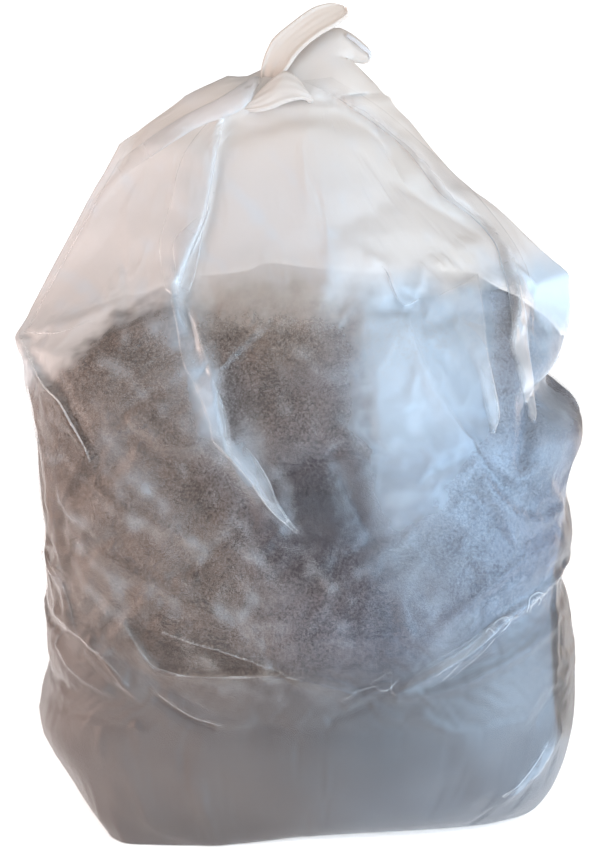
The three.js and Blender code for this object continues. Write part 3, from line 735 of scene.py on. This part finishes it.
def crumple_relief(place, front):
    """Small creases all over the film, fewer where the powder presses on it and where it hangs free."""
    flat = place.reshape(-1, 3)
    x, z = flat[:, 0], flat[:, 2]
    level = np.clip(above_press(x, z) / above_press(x, powder_top(x, front.ravel())), -0.5, 1.6)
    strength = np.interp(level, [-0.5, 0, 0.25, 1, 1.2, 1.6], [0.08, 0.15, 0.6, 0.6, 0.2, 0.06])
    strength += 0.28 * smooth_step(-5, -40, x) * smooth_step(0.1, -0.1, level) * smooth_step(2, 10, z)
    patchy = 0.35 + 0.9 * smooth_step(-0.3, 0.5, gradient_noise(flat / 24, 31))
    big = crumple(flat * [1, 1, 0.8], BIG_CREASES, 41) ** 2
    small = crumple(flat, SMALL_CREASES, 51) ** 2
    return (strength * patchy * (0.55 * big + 0.28 * small) - 0.25 * strength).reshape(place.shape[:2])


def along_route(route, count):
    """count points spaced evenly along the smooth curve through a route."""
    return spread(smooth_route(route, 0.5), count)


def ribbon(pairs, rows, columns, thick, rims=(0, 0), bulge=0, waves=0, seed=61):
    """A flattened tube of film between two edges, given as pairs of points, with a rolled rim on each."""
    first, second = [along_route([pair[side] for pair in pairs], rows) for side in (0, 1)]
    turn = np.linspace(0, 2 * np.pi, columns, endpoint=False)
    along = (1 - np.cos(turn)) / 2
    made = []
    for i, (a, b) in enumerate(zip(first, second)):
        share = i / (rows - 1)
        ahead = (first[min(i + 1, rows - 1)] + second[min(i + 1, rows - 1)]
                 - first[max(i - 1, 0)] - second[max(i - 1, 0)])
        out = unit(np.cross(b - a, ahead))
        out = out if out[1] < 0 else -out
        side = np.sign(np.sin(turn))
        half = thick * side * np.abs(np.sin(turn)) ** 0.7 / 2
        hem = rims[0] * np.exp(-((along - 0.07) / 0.06) ** 2)
        hem += rims[1] * np.exp(-((along - 0.91) / 0.08) ** 2)
        arch = bulge * (1 - (2 * along - 1) ** 2)
        spots = a + along[:, None] * (b - a)
        places = np.column_stack([along * 5, np.full(columns, share * 3), turn * 0])
        ripple = waves * gradient_noise(places, seed)
        made.append(spots + out * (half + hem * side / 2 + arch + ripple)[:, None])
    return np.array(made)


class Drape:
    """Lays things on the film's finished front."""

    def __init__(self, shaped):
        points, faces = closed_grid(shaped)
        self.tree = BVHTree.FromPolygons(points.tolist(), faces)

    def spot(self, x, z):
        """The front's place and normal at a place seen from the front."""
        place, normal, _, _ = self.tree.ray_cast(Vector((x, RAY_START, z)), Vector((0, 1, 0)))
        if place is None:
            place, normal, _, _ = self.tree.find_nearest(Vector((x, 0, z)))
        return np.array(place), np.array(normal)


def pleat_milk(kind, share):
    """How milky a pleat looks across, from 0 to 1."""
    if kind == "wedge":
        return share
    return math.sin(math.pi * share) ** 0.6 if kind == "roll" else 1


def pleat_height(kind, share):
    """A pleat's section across, from 0 to 1: a flat blade, a wedge with a sharp edge, or a round one."""
    if kind == "blade":
        return min(1, share / 0.10, (1 - share) / 0.10)
    if kind == "wedge":
        return min(share ** 0.9, (1 - share) / 0.04)
    return math.sqrt(max(0, 1 - (2 * share - 1) ** 2))


def crease_edges(route, wide):
    """The two edges of a narrow strip along a route."""
    line = smooth_route(route, 1.5)
    ahead = np.gradient(line, axis=0)
    across = unit(np.column_stack([-ahead[:, 1], ahead[:, 0]])) * wide / 2
    return line - across, line + across


def pleat(drape, thick, kind, fade_in, fade_out, first, second):
    """Rows of a doubled strip of film laid on the bag between two edges, and each point's share of haze."""
    size = np.sum(length(np.diff(np.array(second, float), axis=0)))
    rows = max(12, int(size / 0.6))
    firsts, seconds = along_route(first, rows), along_route(second, rows)
    made = []
    ends = np.linspace(0, 1, rows)
    tapers = smooth_step(0, fade_in, ends) * smooth_step(1, 1 - fade_out, ends)
    for a, b, taper in zip(firsts, seconds, tapers):
        top, under = [], []
        for share in PLEAT_SHARES:
            place, normal = drape.spot(*mix(a, b, share))
            top.append(place + normal * (PLEAT_LIFT + thick * taper * pleat_height(kind, share)))
            under.append(place - normal * PLEAT_ROOT)
        made.append(top + under[::-1])
    across = np.array([pleat_milk(kind, share) for share in PLEAT_SHARES])
    faded = tapers[:, None] * np.concatenate([across, across[::-1]])
    return np.array(made), np.concatenate([faded.ravel(), [0, 0]])


# Two edges of each ear and flap of the knot, as pairs of (x, y, z).
UPPER_EAR = [
    ((-10.5, -1.5, 214), (-5.5, -1.5, 216)), ((-12, -2.4, 220.2), (-5.6, -5.4, 221)),
    ((-11.6, -2.6, 224.6), (-3.6, -5.6, 224.4)), ((-10.2, -2.6, 228.7), (-1.5, -5.2, 227.4)),
    ((-8.3, -2.4, 231.9), (1.1, -4.9, 230)), ((-3.6, -2, 235.8), (5, -4.7, 233)),
    ((1.8, -1.4, 239.7), (9, -4.4, 235.2)), ((5.2, -1, 241), (11.4, -3.9, 236.8)),
    ((8.2, -0.9, 241.4), (12.7, -3.2, 238)), ((10.4, -1.2, 240.8), (12.6, -2.5, 239.1)),
    ((11.5, -1.5, 240.1), (12, -2, 239.9)),
]
KNOT_FLAP = [
    ((-16.8, -7.4, 212.8), (-17, -7.6, 212)), ((-14.8, -7.2, 214.8), (-14.4, -9, 211.6)),
    ((-12.8, -6.9, 217.2), (-11.6, -9.7, 211.9)), ((-9.6, -6.7, 220), (-8.5, -10, 212.8)),
    ((-6, -6.4, 222.6), (-5.6, -9.9, 214)), ((-3.4, -6.4, 222.2), (-2.8, -9.6, 214.9)),
    ((-1.2, -6.6, 220.6), (-0.7, -9.1, 215.2)), ((0.6, -7, 217.8), (0.9, -8.4, 214.8)),
    ((1.9, -7.4, 214.6), (2, -7.7, 213.8)),
]
BACK_FLAP = [
    ((-17.2, 4.6, 213.6), (-16, 5.4, 208.2)), ((-14.6, 7.4, 216.9), (-13.4, 8.4, 208.6)),
    ((-11.2, 8.8, 218.6), (-10, 10.2, 209.4)), ((-7, 9.4, 220.4), (-6, 10.9, 210.8)),
    ((-2.6, 9.2, 221.6), (-1.8, 10.7, 212.3)), ((1.8, 8.4, 222.2), (2.4, 9.6, 213.8)),
    ((5.2, 6.8, 222), (5.8, 7.8, 215.4)), ((7.8, 4.2, 221.4), (8.2, 4.8, 217.6)),
]
EAR_HEM = [
    ((12.6, -0.6, 232.8), (12, -0.8, 231.9)), ((15, -1.1, 231.3), (14.4, -1.3, 230.3)),
    ((17.2, -1.2, 229.5), (16.6, -1.4, 228.4)), ((18.9, -0.9, 228.1), (18.1, -1.2, 227.2)),
    ((19.6, -0.2, 226.5), (18.6, -0.6, 226.3)), ((18.9, 0.6, 224.8), (18.2, 0.2, 225.5)),
]


def film_piece(name, parts, film):
    """A piece of film made of closed parts, each given as rows of points, a haze and a coolness of painted
    light.
    """
    points, faces, haze, cool = [], [], [], []
    for grid, milk, tint in parts:
        spots, sides = closed_grid(grid)
        faces.extend([[i + len(points) for i in side] for side in sides])
        points.extend(spots)
        haze.extend(milk + 0.05 * gradient_noise(spots / 4, 71))
        cool.extend([tint] * len(spots))
    piece = mesh_from(name, to_frame(np.array(points)), faces)
    clean = np.zeros(len(points))
    set_attributes(piece, haze=haze, cool=cool, dust=clean, packed=clean)
    piece.data.materials.append(film)
    return piece


def to_frame(points):
    return (points + np.array(CAD_SHIFT)) * MM


def set_attributes(piece, **values):
    """One number per point for each name, for the materials to read."""
    for name, numbers in values.items():
        made = piece.data.attributes.new(name, "FLOAT", "POINT")
        made.data.foreach_set("value", np.asarray(numbers, np.float32))


def with_base(base, wall, caps=(0, 0)):
    """A number for each point of a closed grid: its base rings, its rows, and its two caps' centres."""
    return np.concatenate([np.full(BASE_RINGS * form.shape[1], float(base)), wall.ravel(), caps])


def base_rings(rim):
    """Rings from near the middle of the base out to the rim, flat on the floor."""
    middle = rim.mean(axis=0)
    shares = np.linspace(0.12, 1, BASE_RINGS, endpoint=False)
    return np.array([mix(middle, rim, share) for share in shares])


# The photograph's camera: 16 degrees above the floor, 0.95 m from the bag.
CAMERA_ELEVATION = math.radians(16)
CAMERA_DISTANCE = 0.95
CAMERA_TARGET = Vector((-0.0005, 0.0018, 0.116))
FRAME_WIDTH_AT_TARGET = 0.177
SENSOR_WIDTH = 36


def make_camera():
    data = bpy.data.cameras.new("camera")
    data.sensor_fit = "HORIZONTAL"
    data.sensor_width = SENSOR_WIDTH
    data.lens = SENSOR_WIDTH * CAMERA_DISTANCE / FRAME_WIDTH_AT_TARGET
    camera = bpy.data.objects.new("camera", data)
    back = Vector((0, -math.cos(CAMERA_ELEVATION), math.sin(CAMERA_ELEVATION)))
    camera.location = CAMERA_TARGET + back * CAMERA_DISTANCE
    camera.rotation_euler = back.to_track_quat("Z", "Y").to_euler()
    bpy.context.scene.collection.objects.link(camera)
    bpy.context.scene.camera = camera


# Soft lights, in metres: (name, place, what it points at, size, watts, colour).
AREA_LIGHTS = [
    ("window_right", (0.34, -0.34, 0.07), (0.03, -0.02, 0.07), (0.26, 0.14), 1.9, (0.48, 0.75, 1)),
    ("wall_right", (0.45, 0.14, 0.12), (0.03, 0, 0.07), (0.3, 0.3), 0.5, (1, 0.7, 0.5)),
    ("window_high", (0.4, -0.36, 0.36), (0.03, -0.01, 0.17), (0.34, 0.26), 1.3, (1, 0.95, 0.91)),
    ("wall_left", (-0.44, -0.16, 0.14), (-0.02, 0, 0.08), (0.2, 0.2), 1.35, (1, 0.77, 0.69)),
]


def area_light(name, place, target, size, power, colour):
    data = bpy.data.lights.new(name, "AREA")
    data.shape = "RECTANGLE"
    data.size, data.size_y = size
    data.energy = power
    data.color = colour
    lamp = bpy.data.objects.new(name, data)
    lamp.location = place
    lamp.rotation_euler = (Vector(place) - Vector(target)).to_track_quat("Z", "Y").to_euler()
    bpy.context.scene.collection.objects.link(lamp)


def make_studio():
    scene = bpy.context.scene
    scene.view_settings.view_transform = "Standard"
    world = bpy.data.worlds.new("studio")
    world.use_nodes = True
    world.node_tree.nodes["Background"].inputs["Color"].default_value = (0.96, 0.97, 1.0, 1)
    world.node_tree.nodes["Background"].inputs["Strength"].default_value = 0.24
    scene.world = world
    for row in AREA_LIGHTS:
        area_light(*row)
    sky = bpy.data.lights.new("sky", "SUN")
    sky.energy = 1.6
    sky.angle = math.radians(70)
    sky.color = (1.0, 0.985, 0.97)
    lamp = bpy.data.objects.new("sky", sky)
    lamp.rotation_euler = (math.radians(24), 0, 0)
    scene.collection.objects.link(lamp)
    corners = np.array([(-8, -8, 0), (8, -8, 0), (8, 8, 0), (-8, 8, 0)], float)
    floor = mesh_from("floor", corners, [(0, 1, 2, 3)])
    pale = bpy.data.materials.new("floor")
    pale.use_nodes = True
    surface = pale.node_tree.nodes["Principled BSDF"]
    surface.inputs["Base Color"].default_value = (0.94, 0.94, 0.94, 1)
    surface.inputs["Roughness"].default_value = 0.8
    surface.inputs["Emission Color"].default_value = (1, 1, 1, 1)
    surface.inputs["Emission Strength"].default_value = 0.6
    floor.data.materials.append(pale)


def powder_top(x, front):
    return np.where(front, look_up(POWDER_FRONT, x), look_up(POWDER_BACK, x))


def film_gap(place, relief, front):
    """How far the film stands off the powder."""
    x, z = place[..., 0], place[..., 2]
    rise = np.clip(above_press(x, z) / above_press(x, powder_top(x, front)), 0, 1)
    loose = grid_noise(place, 16, 3) + 0.5 * grid_noise(place, 6, 4)
    free = 0.6 * (relief - soften(relief, 6)) + 0.3 + rise * (0.2 + 0.8 * np.maximum(0, loose + 0.1))
    return mix(np.maximum(LEAST_GAP, free), LEAST_GAP, smooth_step(0.25, 0, rise))


def veils(x, z, ragged):
    """The haze and the coolness of painted light of the veils at places on the front."""
    haze = np.zeros(len(x))
    cool = np.zeros(len(x))
    for amount, before, after, tint, route in VEILS:
        signed, along = fold_distance(np.column_stack([x, z]), smooth_route(route))
        reach = np.where(signed < 0, before, after)
        ends = smooth_step(0, 0.1, along) * smooth_step(1, 0.3, along)
        share = ends * np.exp(-(np.abs(signed + ragged) / reach) ** 1.6)
        haze += amount * share
        cool += tint * share
    return haze, cool


def in_panel(x, z, corners, soft=0.5):
    """How far places are in a polygon, from 0 outside to 1 inside."""
    nearest = np.full(x.shape, 1e9)
    inside = np.zeros(x.shape, bool)
    for (x1, z1), (x2, z2) in zip(corners, corners[1:] + corners[:1]):
        size = (x2 - x1) ** 2 + (z2 - z1) ** 2
        t = np.clip(((x - x1) * (x2 - x1) + (z - z1) * (z2 - z1)) / size, 0, 1)
        nearest = np.minimum(nearest, np.hypot(x - x1 - t * (x2 - x1), z - z1 - t * (z2 - z1)))
        if z1 != z2:
            inside ^= ((z1 > z) != (z2 > z)) & (x < (x2 - x1) * (z - z1) / (z2 - z1) + x1)
    return smooth_step(-soft, soft, np.where(inside, nearest, -nearest))


def film_haze(place, gap, front):
    """How milky the film looks, and how cool the tint of painted light in its colour is, from 0 to 1."""
    x, z = place[..., 0], place[..., 2]
    ragged = 2.5 * grid_noise(place, 5, 11) + 1.2 * grid_noise(place, 1.8, 12)
    soft_edge = np.exp(-((x + 8) / 26) ** 4)
    height = z + ragged - powder_top(x, front)
    above = smooth_step(-4 - 12 * soft_edge, 3 + 2 * soft_edge, height)
    fall, climb, depth = x - z, x + z, place[..., 1]
    down_right = grid_noise(np.stack([fall / 24, depth / 20, climb / 8], axis=-1), 1, 13)
    down_left = grid_noise(np.stack([climb / 30, depth / 20, fall / 12], axis=-1), 1, 15)
    blotches = mix(down_right, down_left, smooth_step(0, 30, x)) + 0.5 * grid_noise(place, 4.5, 14)
    blotches = smooth_step(0, 0.9, blotches) * smooth_step(-12, 12, above_press(x, z))
    haze = 0.03 + 0.2 * (1 - np.exp(-np.maximum(0, soften(gap, 2) - 0.4) / 2.2))
    # Painted light: the film is tinted cool towards the right, where the window light falls, less so up
    # high, and its milky blotches get a painted cool reflection.
    cool = 0.35 + 0.6 * smooth_step(-5, 22, x) * smooth_step(174, 160, z)
    cool -= 0.25 * smooth_step(5, 35, x) * smooth_step(162, 174, z) + 0.25 * smooth_step(185, 210, z)
    haze += (0.24 - 0.1 * smooth_step(5, 30, x)) * blotches
    cool += 0.25 * blotches
    upper = np.zeros(x.shape)
    for *spot, amount in UPPER_PATCHES:
        upper += amount * front * patch(x, z, spot, 1.5)
    for *spot, amount, tint in HAZE_PATCHES:
        share = front * patch(x, z + ragged, spot, 1.5)
        haze += amount * share
        cool += tint * share
    seen = front[0]
    shape = x[:, seen].shape
    more, tint = veils(x[:, seen].ravel(), z[:, seen].ravel(), ragged[:, seen].ravel())
    haze[:, seen] += more.reshape(shape)
    cool[:, seen] += tint.reshape(shape)
    for amount, tint, _, corners in PANELS:
        share = in_panel(x[:, seen], z[:, seen], corners)
        haze[:, seen] += amount * share
        cool[:, seen] += tint * share
    return mix(haze, FREE_HAZE + upper, above), np.clip(cool, 0, 1)


def powder_grid(shaped, normals, gap, front):
    """The powder's surface: up the wall inside the film, then over its heap to the middle."""
    rows = shaped.shape[0]
    inside = shaped - normals * gap[..., None]
    x = form[..., 0]
    heights = form[:, 0, 2]
    level = np.searchsorted(heights, EDGE_LEVEL)
    top = powder_top(x[level], front[0]) - POWDER_DROP
    top_row = np.interp(top, heights[:wall_count], np.arange(wall_count))
    made = []
    for share in np.linspace(0, 1, POWDER_ROWS):
        at = top_row * share
        low = np.floor(at).astype(int)
        part = (at - low)[:, None]
        columns = np.arange(inside.shape[1])
        made.append(mix(inside[low, columns], inside[np.minimum(low + 1, rows - 1), columns], part))
    rim = made[-1]
    for share in np.linspace(0, 1, HEAP_RINGS + 1)[1:-1]:
        ring = mix(rim, np.array(HEAP_MIDDLE), share)
        bumps = gradient_noise(ring * [0.05, 0.05, 0], 21) * 1.5
        bumps += gradient_noise(ring * [0.14, 0.14, 0], 22) * 0.8
        tops = [powder_top(ring[:, 0], side) for side in (True, False)]
        heap = mix(*tops, smooth_step(-40, 40, ring[:, 1])) - POWDER_DROP + bumps
        ring[:, 2] = mix(rim[:, 2], heap, smooth_step(0, 0.25, share))
        made.append(ring)
    return np.array(made)


class Nodes:
    """A small helper that adds nodes to a material."""

    def __init__(self, name):
        self.material = bpy.data.materials.new(name)
        self.material.use_nodes = True
        self.tree = self.material.node_tree
        self.tree.nodes.clear()

    def add(self, kind, output=0, settings=(), **inputs):
        """An output of a new node. An input is named by its words, or by i_ and its number."""
        node = self.tree.nodes.new("ShaderNode" + kind)
        for name, value in settings:
            setattr(node, name, value)
        for name, value in inputs.items():
            socket = node.inputs[int(name[2:]) if name.startswith("i_") else name.replace("_", " ")]
            if isinstance(value, bpy.types.NodeSocket):
                self.tree.links.new(value, socket)
            else:
                socket.default_value = value
        return node.outputs[output] if node.outputs else node

    def attribute(self, name):
        return self.add("Attribute", "Fac", [("attribute_name", name)])

    def maths(self, operation, a, b):
        return self.add("Math", 0, [("operation", operation)], i_0=a, i_1=b)

    def blend(self, share, a, b):
        return self.add("Mix", 2, [("data_type", "RGBA")], i_0=share, i_6=a, i_7=b)

    def scale(self, value, low, high, to_low=0, to_high=1):
        return self.add("MapRange", i_0=value, i_1=low, i_2=high, i_3=to_low, i_4=to_high)

    def noise(self, scale, detail, roughness, distortion=0):
        made = {"Scale": scale, "Detail": detail, "Roughness": roughness, "Distortion": distortion}
        return self.add("TexNoise", "Fac", Vector=self.add("TexCoord", "Object"), **made)

    def finish(self, shader):
        self.add("OutputMaterial", Surface=shader)
        return self.material


def film_material():
    n = Nodes("film")
    haze = n.attribute("haze")
    dust = n.attribute("dust")
    cool = n.attribute("cool")
    grain = n.noise(900, 3, 0.6)
    cloud = n.noise(70, 3, 0.6)
    # The film's colour runs from painted warm light through its plain colour to painted cool light.
    painted_warm_light_mix = n.blend(n.scale(cool, 0, 0.35), FILM_PAINTED_WARM_LIGHT, FILM_PLAIN)
    milky = n.blend(n.scale(cool, 0.35, 1), painted_warm_light_mix, FILM_PAINTED_COOL_LIGHT)
    speck = n.maths("MULTIPLY", dust, n.scale(grain, 0.45, 0.62))
    colour = n.blend(speck, milky, DUST)
    strength = n.scale(n.attribute("packed"), 0, 1, 0.16, 0.04)
    ripples = n.noise(220, 2, 0.5, 0.6)
    bump = n.add("Bump", Strength=strength, Distance=0.0004, Height=ripples)
    roughness = n.scale(cloud, 0.3, 0.7, 0.42, 0.55)
    body = n.add("BsdfPrincipled", Base_Color=colour, Roughness=0.6, Specular_IOR_Level=0, Normal=bump)
    through = n.add("BsdfTranslucent", Color=colour, Normal=bump)
    milk = n.add("MixShader", i_0=0.35, i_1=body, i_2=through)
    clear = n.add("BsdfTransparent", Color=(1, 1, 1, 1))
    alpha = n.maths("ADD", haze, n.maths("MULTIPLY", speck, 0.6))
    alpha = n.scale(alpha, 0, 0.97, 0, 0.97)
    film = n.add("MixShader", i_0=alpha, i_1=clear, i_2=milk)
    gloss = n.add("BsdfAnisotropic", Color=(1, 1, 1, 1), Roughness=roughness, Normal=bump)
    edge = n.maths("MINIMUM", n.add("Fresnel", IOR=FILM_IOR, Normal=bump), MOST_GLOSS)
    return n.finish(n.add("MixShader", i_0=edge, i_1=film, i_2=gloss))


def powder_material():
    n = Nodes("cement")
    packed = n.attribute("packed")
    cool = n.attribute("cool")
    fine = n.noise(2600, 2, 0.7)
    coarse = n.noise(1300, 3, 0.7)
    cloud = n.noise(60, 3, 0.6)
    mottle = n.maths("ADD", n.maths("MULTIPLY", coarse, 0.6), n.maths("MULTIPLY", cloud, 0.4))
    shade = n.scale(mottle, 0.4, 0.6)
    broad = n.scale(cloud, 0.35, 0.65)
    # The powder's colours in painted warm light and in painted cool light, mixed by its painted light tint.
    loose = n.blend(cool, n.blend(shade, *LOOSE_IN_PAINTED_WARM_LIGHT), n.blend(shade, *LOOSE_IN_PAINTED_COOL_LIGHT))
    tight = n.blend(cool, n.blend(broad, *PRESSED_IN_PAINTED_WARM_LIGHT), n.blend(broad, *PRESSED_IN_PAINTED_COOL_LIGHT))
    colour = n.blend(packed, loose, tight)
    speckle = n.maths("MULTIPLY", n.scale(fine, 0.5, 0.72), n.scale(packed, 0, 1, 0.5, 0.02))
    colour = n.blend(speckle, colour, GRAIN)
    # Painted shade darkens the powder by its shade attribute.
    colour = n.blend(n.attribute("shade"), colour, PAINTED_SHADE_COLOUR)
    # Painted cool light: pale blue laid over the powder in patches.
    painted_cool_light_share = n.maths("MULTIPLY", n.attribute("pale"), n.scale(shade, 0.1, 0.7, 0.35, 1))
    colour = n.blend(painted_cool_light_share, colour, PAINTED_COOL_LIGHT_COLOUR)
    place = n.add("TexCoord", "Object")
    wander = n.add("TexNoise", "Color", Vector=place, Scale=140, Detail=2)
    bent = n.add("Mix", 1, [("data_type", "VECTOR")], i_0=0.012, i_4=place, i_5=wander)
    edge = n.add("TexVoronoi", "Distance", [("feature", "DISTANCE_TO_EDGE")], Vector=bent, Scale=130)
    crack = n.maths("MULTIPLY", n.scale(edge, 0, 0.035, 1, 0), n.scale(cloud, 0.46, 0.60, 0, 0.55))
    crack = n.maths("MULTIPLY", crack, n.scale(packed, 0, 1, 1, 0.15))
    colour = n.blend(crack, colour, CRACK)
    strength = n.scale(packed, 0, 1, 0.5, 0)
    bump = n.add("Bump", Strength=strength, Distance=0.0005, Height=coarse)
    body = n.add("BsdfPrincipled", Base_Color=colour, Roughness=0.95, Specular_IOR_Level=0.2, Normal=bump)
    return n.finish(body)


make_camera()
make_studio()

form = np.concatenate([wall_rows(), head_rows()])
normals = grid_normals(form)
wall_count = int(np.sum(form[:, 0, 2] <= WALL_TOP))
front = np.broadcast_to(np.arange(form.shape[1]) < FRONT_COLUMNS, form.shape[:2])
lift_front, haze_front = fold_relief(form, normals, FRONT_FOLDS, -1)
lift_back, haze_back = fold_relief(form, normals, BACK_FOLDS, 1)
shaped = form + normals * (lift_front + lift_back)[..., None]
shaped = shaped + settle(shaped)
shaped = shaped + normals * crumple_relief(form, front)[..., None]
shaped[..., 2] = np.maximum(shaped[..., 2], 0)
relief = np.sum((shaped - form) * normals, axis=-1)
gap = film_gap(form, relief, front)
milk, coolness = film_haze(form, gap, front)
milk = np.clip(milk + (haze_front + haze_back), 0, MOST_HAZE)
tight = smooth_step(12, -8, above_press(form[..., 0], form[..., 2]))
dust = smooth_step(16, 2, np.abs(form[..., 2] - powder_top(form[..., 0], front) + 12)) * 0.3

grid = np.concatenate([base_rings(shaped[0]), shaped])
points, faces = closed_grid(grid)
skin = mesh_from("film_skin", to_frame(points), faces)
set_attributes(
    skin,
    haze=with_base(0.15, milk, (0.15, 0.8)),
    dust=with_base(0, dust),
    cool=with_base(0.35, coolness, (0.35, 0.35)),
    packed=with_base(1, tight, (1, 0)),
)
film = film_material()
skin.data.materials.append(film)

heap = powder_grid(shaped, normals, gap, front)
heap = np.concatenate([base_rings(heap[0]), heap])
points, faces = closed_grid(heap)
points[:, 2] = np.maximum(points[:, 2], POWDER_FLOOR)
powder = mesh_from("cement_powder", to_frame(points), faces)
x, y, z = points.T
packed = smooth_step(16, -10, above_press(x, z))
# Painted light and shade: the powder is tinted warm on the left and cool on the right, darkened by patches
# of painted shade and made paler by patches of painted cool light.
powder_cool = smooth_step(-35, 45, x + 22 * gradient_noise(points / 30, 81))
shade = np.zeros(len(points))
pale = np.zeros(len(points))
near_front = smooth_step(10, -10, y)
for *spot, dark, tint in POWDER_PATCHES:
    share = near_front * patch(x, z, spot, 1.3)
    shade += dark * share
    powder_cool += tint * share
for *spot, amount in PAINTED_COOL_LIGHT_PATCHES:
    pale += amount * near_front * patch(x, z, spot, 1.5)
for _, tint, dark, corners in PANELS:
    share = in_panel(x, z, corners, 0.8) * (y < 0)
    shade += dark * share
    powder_cool += tint * share
shade, pale = np.clip(shade, 0, 0.8), np.clip(pale, 0, 0.8)
set_attributes(powder, packed=packed, cool=np.clip(powder_cool, 0, 1), shade=shade, pale=pale)
powder.data.materials.append(powder_material())

# Each knot piece has a haze and a tint of painted light.
pieces = [
    film_piece(name, [(ribbon(*shape), haze, cool)], film)
    for name, haze, cool, shape in (
        ("upper_ear", 0.86, 0, (UPPER_EAR, 60, 64, 0.9, (0.8, 1.5), -0.3, 0.35)),
        ("knot_flap", 0.88, 0.1, (KNOT_FLAP, 40, 64, 0.8, (0.3, 1), 1.1, 0.25, 62)),
        ("knot_back", 0.86, 0.35, (BACK_FLAP, 40, 56, 1.4, (0, 1), -1.2, 0.4, 63)),
        ("ear_hem", 0.85, 0.5, (EAR_HEM, 24, 16, 0.9)),
    )
]
drape = Drape(shaped)
parts = []
for thick, kind, haze, cool, fade_in, fade_out, first, second in FRONT_PLEATS:
    rows, faded = pleat(drape, thick, kind, fade_in, fade_out, first, second)
    parts.append((rows, haze * faded, cool))
pieces.append(film_piece("film_pleats", parts, film))
parts = []
for wide, high, haze, route in FRONT_CREASES:
    rows, faded = pleat(drape, high, "roll", CREASE_FADE, CREASE_FADE, *crease_edges(route, wide))
    # Creases further right get a cooler tint of painted light.
    cool = float(smooth_step(-10, 20, np.mean(route, axis=0)[0]))
    parts.append((rows, haze * faded, 0.4 + 0.5 * cool))
pieces.append(film_piece("film_creases", parts, film))

for piece in [skin, *pieces]:
    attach(piece, "root")
    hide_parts("bag_film")
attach(powder, "root")
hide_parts("cement_mix")
